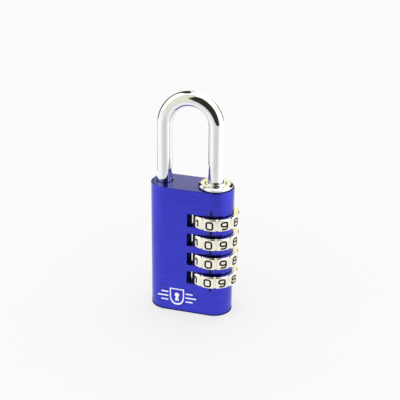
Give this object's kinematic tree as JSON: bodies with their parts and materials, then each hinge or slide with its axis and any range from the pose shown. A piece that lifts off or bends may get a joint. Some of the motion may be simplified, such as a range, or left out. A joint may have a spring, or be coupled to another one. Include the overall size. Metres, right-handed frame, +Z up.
{
  "type": "combination padlock",
  "caption": "Slim combination padlock: round-ended blue metal body, chrome shackle in a flanged collar and nickel number dials stacked along one side.",
  "frame": {"origin": "middle of the body's flat bottom face", "axes": "+Z up, from the bottom face along the dials' shared axis to the shackle; +X from the toe leg to the dials; the index marks and the digits being read face -Y"},
  "size_m": [0.0319, 0.017, 0.0819],
  "materials": {
    "anodised_body": "brushed and anodised violet blue, satin",
    "plug_aluminium": "plain turned metal",
    "shackle_chrome": "mirror chrome on hardened steel",
    "collar_chrome": "mirror chrome",
    "dial_nickel": "satin nickel with black filled digits",
    "sleeve_brass": "turned brass",
    "ball_steel": "polished bearing steel",
    "spring_steel": "drawn spring wire",
    "washer_steel": "zinc plated",
    "ring_steel": "dark spring steel"
  },
  "bodies": {
    "lock_body": {"body_block": "anodised_body", "bottom_plug": "plug_aluminium", "shackle_collar": "collar_chrome", "reset_spring": "spring_steel", "click_spring_1": "spring_steel", "click_spring_2": "spring_steel", "click_spring_3": "spring_steel", "click_spring_4": "spring_steel"},
    "shackle": {"shackle": "shackle_chrome", "retaining_ring": "ring_steel"},
    "reset_washer": {"thrust_washer": "washer_steel"},
    "dial_1": {"dial_wheel_1": "dial_nickel"},
    "sleeve_1": {"code_sleeve_1": "sleeve_brass"},
    "ball_1": {"click_ball_1": "ball_steel"},
    "dial_2": {"dial_wheel_2": "dial_nickel"},
    "sleeve_2": {"code_sleeve_2": "sleeve_brass"},
    "ball_2": {"click_ball_2": "ball_steel"},
    "dial_3": {"dial_wheel_3": "dial_nickel"},
    "sleeve_3": {"code_sleeve_3": "sleeve_brass"},
    "ball_3": {"click_ball_3": "ball_steel"},
    "dial_4": {"dial_wheel_4": "dial_nickel"},
    "sleeve_4": {"code_sleeve_4": "sleeve_brass"},
    "ball_4": {"click_ball_4": "ball_steel"}
  },
  "joints": [
    {"name": "shackle_lift", "type": "slide", "parent": "lock_body", "child": "shackle", "axis": [0, 0, 1], "range_m": [0, 0.00748]},
    {"name": "reset_drop", "type": "slide", "parent": "lock_body", "child": "reset_washer", "axis": [0, 0, 1], "range_m": [-0.0012, 0], "stiffness_N_per_m": 500, "springref_m": 0.002, "deforming": ["reset_spring"]},
    {"name": "dial_1_turn", "type": "hinge", "parent": "lock_body", "child": "dial_1", "pos_m": [0.0084, 0, 0.03697], "axis": [0, 0, 1], "continuous": true},
    {"name": "sleeve_1_drop", "type": "slide", "parent": "dial_1", "child": "sleeve_1", "axis": [0, 0, 1], "range_m": [-0.0012, 0]},
    {"name": "dial_2_turn", "type": "hinge", "parent": "lock_body", "child": "dial_2", "pos_m": [0.0084, 0, 0.02949], "axis": [0, 0, 1], "continuous": true},
    {"name": "sleeve_2_drop", "type": "slide", "parent": "dial_2", "child": "sleeve_2", "axis": [0, 0, 1], "range_m": [-0.0012, 0]},
    {"name": "dial_3_turn", "type": "hinge", "parent": "lock_body", "child": "dial_3", "pos_m": [0.0084, 0, 0.02201], "axis": [0, 0, 1], "continuous": true},
    {"name": "sleeve_3_drop", "type": "slide", "parent": "dial_3", "child": "sleeve_3", "axis": [0, 0, 1], "range_m": [-0.0012, 0]},
    {"name": "dial_4_turn", "type": "hinge", "parent": "lock_body", "child": "dial_4", "pos_m": [0.0084, 0, 0.01453], "axis": [0, 0, 1], "continuous": true},
    {"name": "sleeve_4_drop", "type": "slide", "parent": "dial_4", "child": "sleeve_4", "axis": [0, 0, 1], "range_m": [-0.0012, 0]},
    {"name": "ball_1_click", "type": "slide", "parent": "lock_body", "child": "ball_1", "axis": [1, 0, 0], "range_m": [0, 0.00015], "deforming": ["click_spring_1"]},
    {"name": "ball_2_click", "type": "slide", "parent": "lock_body", "child": "ball_2", "axis": [1, 0, 0], "range_m": [0, 0.00015], "deforming": ["click_spring_2"]},
    {"name": "ball_3_click", "type": "slide", "parent": "lock_body", "child": "ball_3", "axis": [1, 0, 0], "range_m": [0, 0.00015], "deforming": ["click_spring_3"]},
    {"name": "ball_4_click", "type": "slide", "parent": "lock_body", "child": "ball_4", "axis": [1, 0, 0], "range_m": [0, 0.00015], "deforming": ["click_spring_4"]}
  ],
  "couplings": [
    {"joint": "sleeve_1_drop", "follows": "reset_drop", "ratio": 1},
    {"joint": "sleeve_2_drop", "follows": "reset_drop", "ratio": 1},
    {"joint": "sleeve_3_drop", "follows": "reset_drop", "ratio": 1},
    {"joint": "sleeve_4_drop", "follows": "reset_drop", "ratio": 1}
  ]
}
